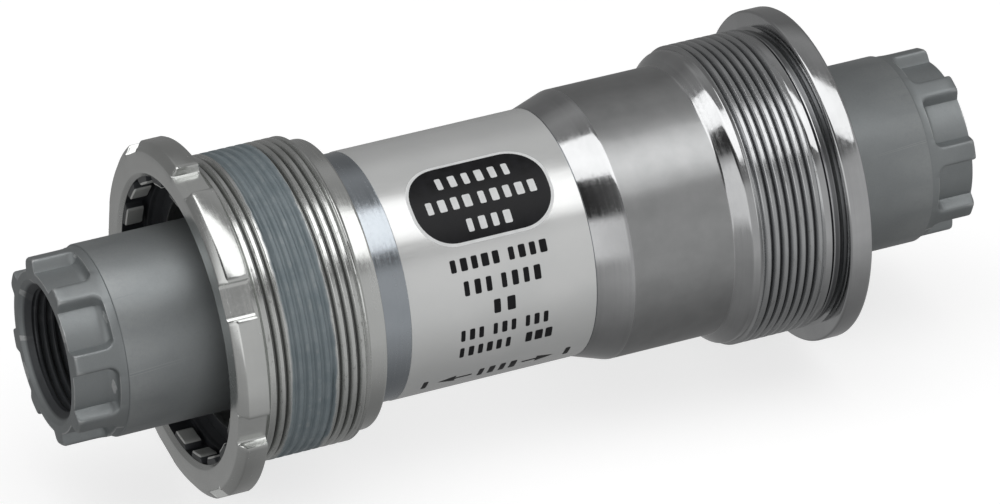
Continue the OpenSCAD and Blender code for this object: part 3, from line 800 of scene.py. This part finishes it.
def finish_nodes():
    """Materials for the CAD nodes that stay as they are."""
    ground = turned_metal("ground_steel", (0.62, 0.62, 0.63), (0.50, 0.50, 0.51), 0.14).material
    drawn = turned_metal("drawn_steel", (0.50, 0.50, 0.51), (0.38, 0.38, 0.39), 0.3).material
    zinc = turned_metal("zinc_plate", (0.46, 0.46, 0.47), (0.34, 0.34, 0.35), 0.32, grain=0.05).material
    oiled = turned_metal("oiled_steel", (0.34, 0.32, 0.30), (0.24, 0.23, 0.21), 0.28).material
    black = turned_metal("blackened_steel", (0.13, 0.13, 0.14), (0.08, 0.08, 0.09), 0.36).material
    sleeve = turned_metal("blue_grey_plate", (0.50, 0.535, 0.57), (0.43, 0.465, 0.50), 0.2).material
    looks = {
        "bearing_steel": ground, "shell_steel": drawn, "carrier_steel": zinc, "needle_cage_steel": oiled,
        "spring_steel": black, "sleeve_steel": sleeve,
        "seal_rubber": plastic("seal_rubber", (0.030, 0.030, 0.032), (0.018, 0.018, 0.019), 0.58).material,
        "cage_plastic": plastic("cage_plastic", (0.55, 0.41, 0.22), (0.47, 0.34, 0.17), 0.45).material,
        "spacer_plastic": plastic("spacer_plastic", (0.66, 0.64, 0.56), (0.58, 0.56, 0.49), 0.5).material,
    }
    for part in frame["record"]["subparts"]:
        thing = frame["nodes"][part["node"]]
        if thing.hide_render:
            continue
        material = looks[part["material_slot"]]
        if not thing.data.materials:
            thing.data.materials.append(material)
        for k in range(len(thing.material_slots)):
            thing.material_slots[k].material = material


# ---------------------------------------------------------------- studio

AZIMUTH, ELEVATION = -24.01, 32.75
DISTANCE = 817.84
ASIDE, ABOVE = -0.019, -1.035  # how far the camera's line of sight passes from the origin
LENS, SENSOR = 262.35, 36
FLOOR_GAP = 0.0002  # metres under the part, so that they don't share a plane


def camera():
    """The camera, placed by direction and distance, with no lens shift and no depth of field."""
    a, e = AZIMUTH, ELEVATION
    right = Vector((cos(a), sin(a), 0))
    up = Vector((-sin(a) * sin(e), cos(a) * sin(e), cos(e)))
    ahead = Vector((-sin(a) * cos(e), cos(a) * cos(e), -sin(e)))
    data = bpy.data.cameras.new("camera")
    data.lens = LENS
    data.sensor_width = SENSOR
    data.clip_start, data.clip_end = 0.05, 20
    thing = bpy.data.objects.new("camera", data)
    bpy.context.scene.collection.objects.link(thing)
    thing.location = (right * ASIDE + up * ABOVE - ahead * DISTANCE) * MM
    thing.rotation_mode = "QUATERNION"
    thing.rotation_quaternion = ahead.to_track_quat("-Z", "Y")
    bpy.context.scene.camera = thing


def softbox(name, elevation, azimuth, distance, width, depth, power):
    """An area light that looks at the part from this direction, with azimuth 0 at -Y."""
    data = bpy.data.lights.new(name, "AREA")
    data.shape = "RECTANGLE"
    data.size, data.size_y = width, depth
    data.energy = power
    thing = bpy.data.objects.new(name, data)
    bpy.context.scene.collection.objects.link(thing)
    away = Vector((sin(azimuth) * cos(elevation), -cos(azimuth) * cos(elevation), sin(elevation)))
    thing.location = away * distance
    thing.rotation_mode = "QUATERNION"
    thing.rotation_quaternion = (-away).to_track_quat("-Z", "Y")
    return thing


def ramp(tree, value, stops):
    """A smooth curve from (place, level) stops, for a value from -1 to 1."""
    to_share = tree.nodes.new("ShaderNodeMapRange")
    to_share.inputs["From Min"].default_value = -1
    tree.links.new(value, to_share.inputs["Value"])
    node = tree.nodes.new("ShaderNodeValToRGB")
    tree.links.new(to_share.outputs["Result"], node.inputs["Fac"])
    elements = node.color_ramp.elements
    while len(elements) < len(stops):
        elements.new(1.0)
    for element, (at, level) in zip(elements, stops):
        element.position = (at + 1) / 2
        element.color = (level, level, level, 1)
    return node.outputs["Color"]


def mixed(tree, share, a, b):
    """Light a where share is 0 and b where it is 1."""
    node = tree.nodes.new("ShaderNodeMix")
    node.data_type = "RGBA"
    tree.links.new(share, node.inputs["Factor"])
    tree.links.new(a, node.inputs["A"])
    tree.links.new(b, node.inputs["B"])
    return node.outputs["Result"]


def room_light():
    """A grey room by world direction, darker behind the part, with a pale wall low on the left."""
    world = bpy.data.worlds.new("studio")
    world.use_nodes = True
    bpy.context.scene.world = world
    tree = world.node_tree
    place = tree.nodes.new("ShaderNodeTexCoord")
    split = tree.nodes.new("ShaderNodeSeparateXYZ")
    tree.links.new(place.outputs["Generated"], split.inputs[0])
    x, y, z = split.outputs
    front = ramp(tree, z, [(-1, 0.16), (-0.8, 0.25), (-0.3, 0.50), (0.3, 0.52), (0.52, 0.50), (0.62, 0.20),
                           (0.84, 0.20), (1, 0.35)])
    left = ramp(tree, z, [(-1, 0.18), (-0.1, 0.40), (0.04, 0.9), (0.50, 0.95), (0.58, 0.04), (0.86, 0.04),
                          (1, 0.3)])
    back = ramp(tree, z, [(-1, 0.17), (-0.6, 0.30), (-0.3, 0.20), (0.42, 0.18), (0.7, 0.34), (1, 0.22)])
    on_left = ramp(tree, x, [(-1, 1), (-0.36, 1), (-0.06, 0), (1, 0)])
    behind = ramp(tree, y, [(-1, 0), (-0.05, 0), (0.3, 1), (1, 1)])
    light = mixed(tree, behind, mixed(tree, on_left, front, left), back)
    tree.links.new(light, tree.nodes["Background"].inputs["Color"])


def floor_plane():
    """A pale floor with a glow of its own, hidden from reflections and from bounced light."""
    work = bmesh.new()
    bmesh.ops.create_grid(work, x_segments=8, y_segments=8, size=6)
    mesh = bpy.data.meshes.new("floor")
    work.to_mesh(mesh)
    work.free()
    floor = bpy.data.objects.new("floor", mesh)
    bpy.context.scene.collection.objects.link(floor)
    floor.location.z = cad_low.z - FLOOR_GAP
    n = Nodes("floor_paint")
    n.link(n.mix(n.noise(3, 2.0), (0.46, 0.46, 0.46), (0.50, 0.50, 0.50)), n.shader.inputs["Base Color"])
    n.shader.inputs["Roughness"].default_value = 0.9
    n.shader.inputs["Emission Color"].default_value = (1, 1, 1, 1)
    n.shader.inputs["Emission Strength"].default_value = 0.70
    floor.data.materials.append(n.material)
    floor.visible_glossy = False
    floor.visible_diffuse = False


def studio():
    """Floor, room, a long softbox overhead and a fill that no surface mirrors."""
    floor_plane()
    room_light()
    softbox("top_softbox", 84, -30, 0.95, 2.2, 0.64, 6.4)
    fill = softbox("paint_fill", 10, -20, 1.5, 1.6, 1.0, 3.2)
    fill.visible_glossy = False


spindle()
left_adapter()
drive_cup()
label_sheet()
label_print()
finish_nodes()
camera()
studio()
bpy.context.scene.view_settings.view_transform = "Standard"
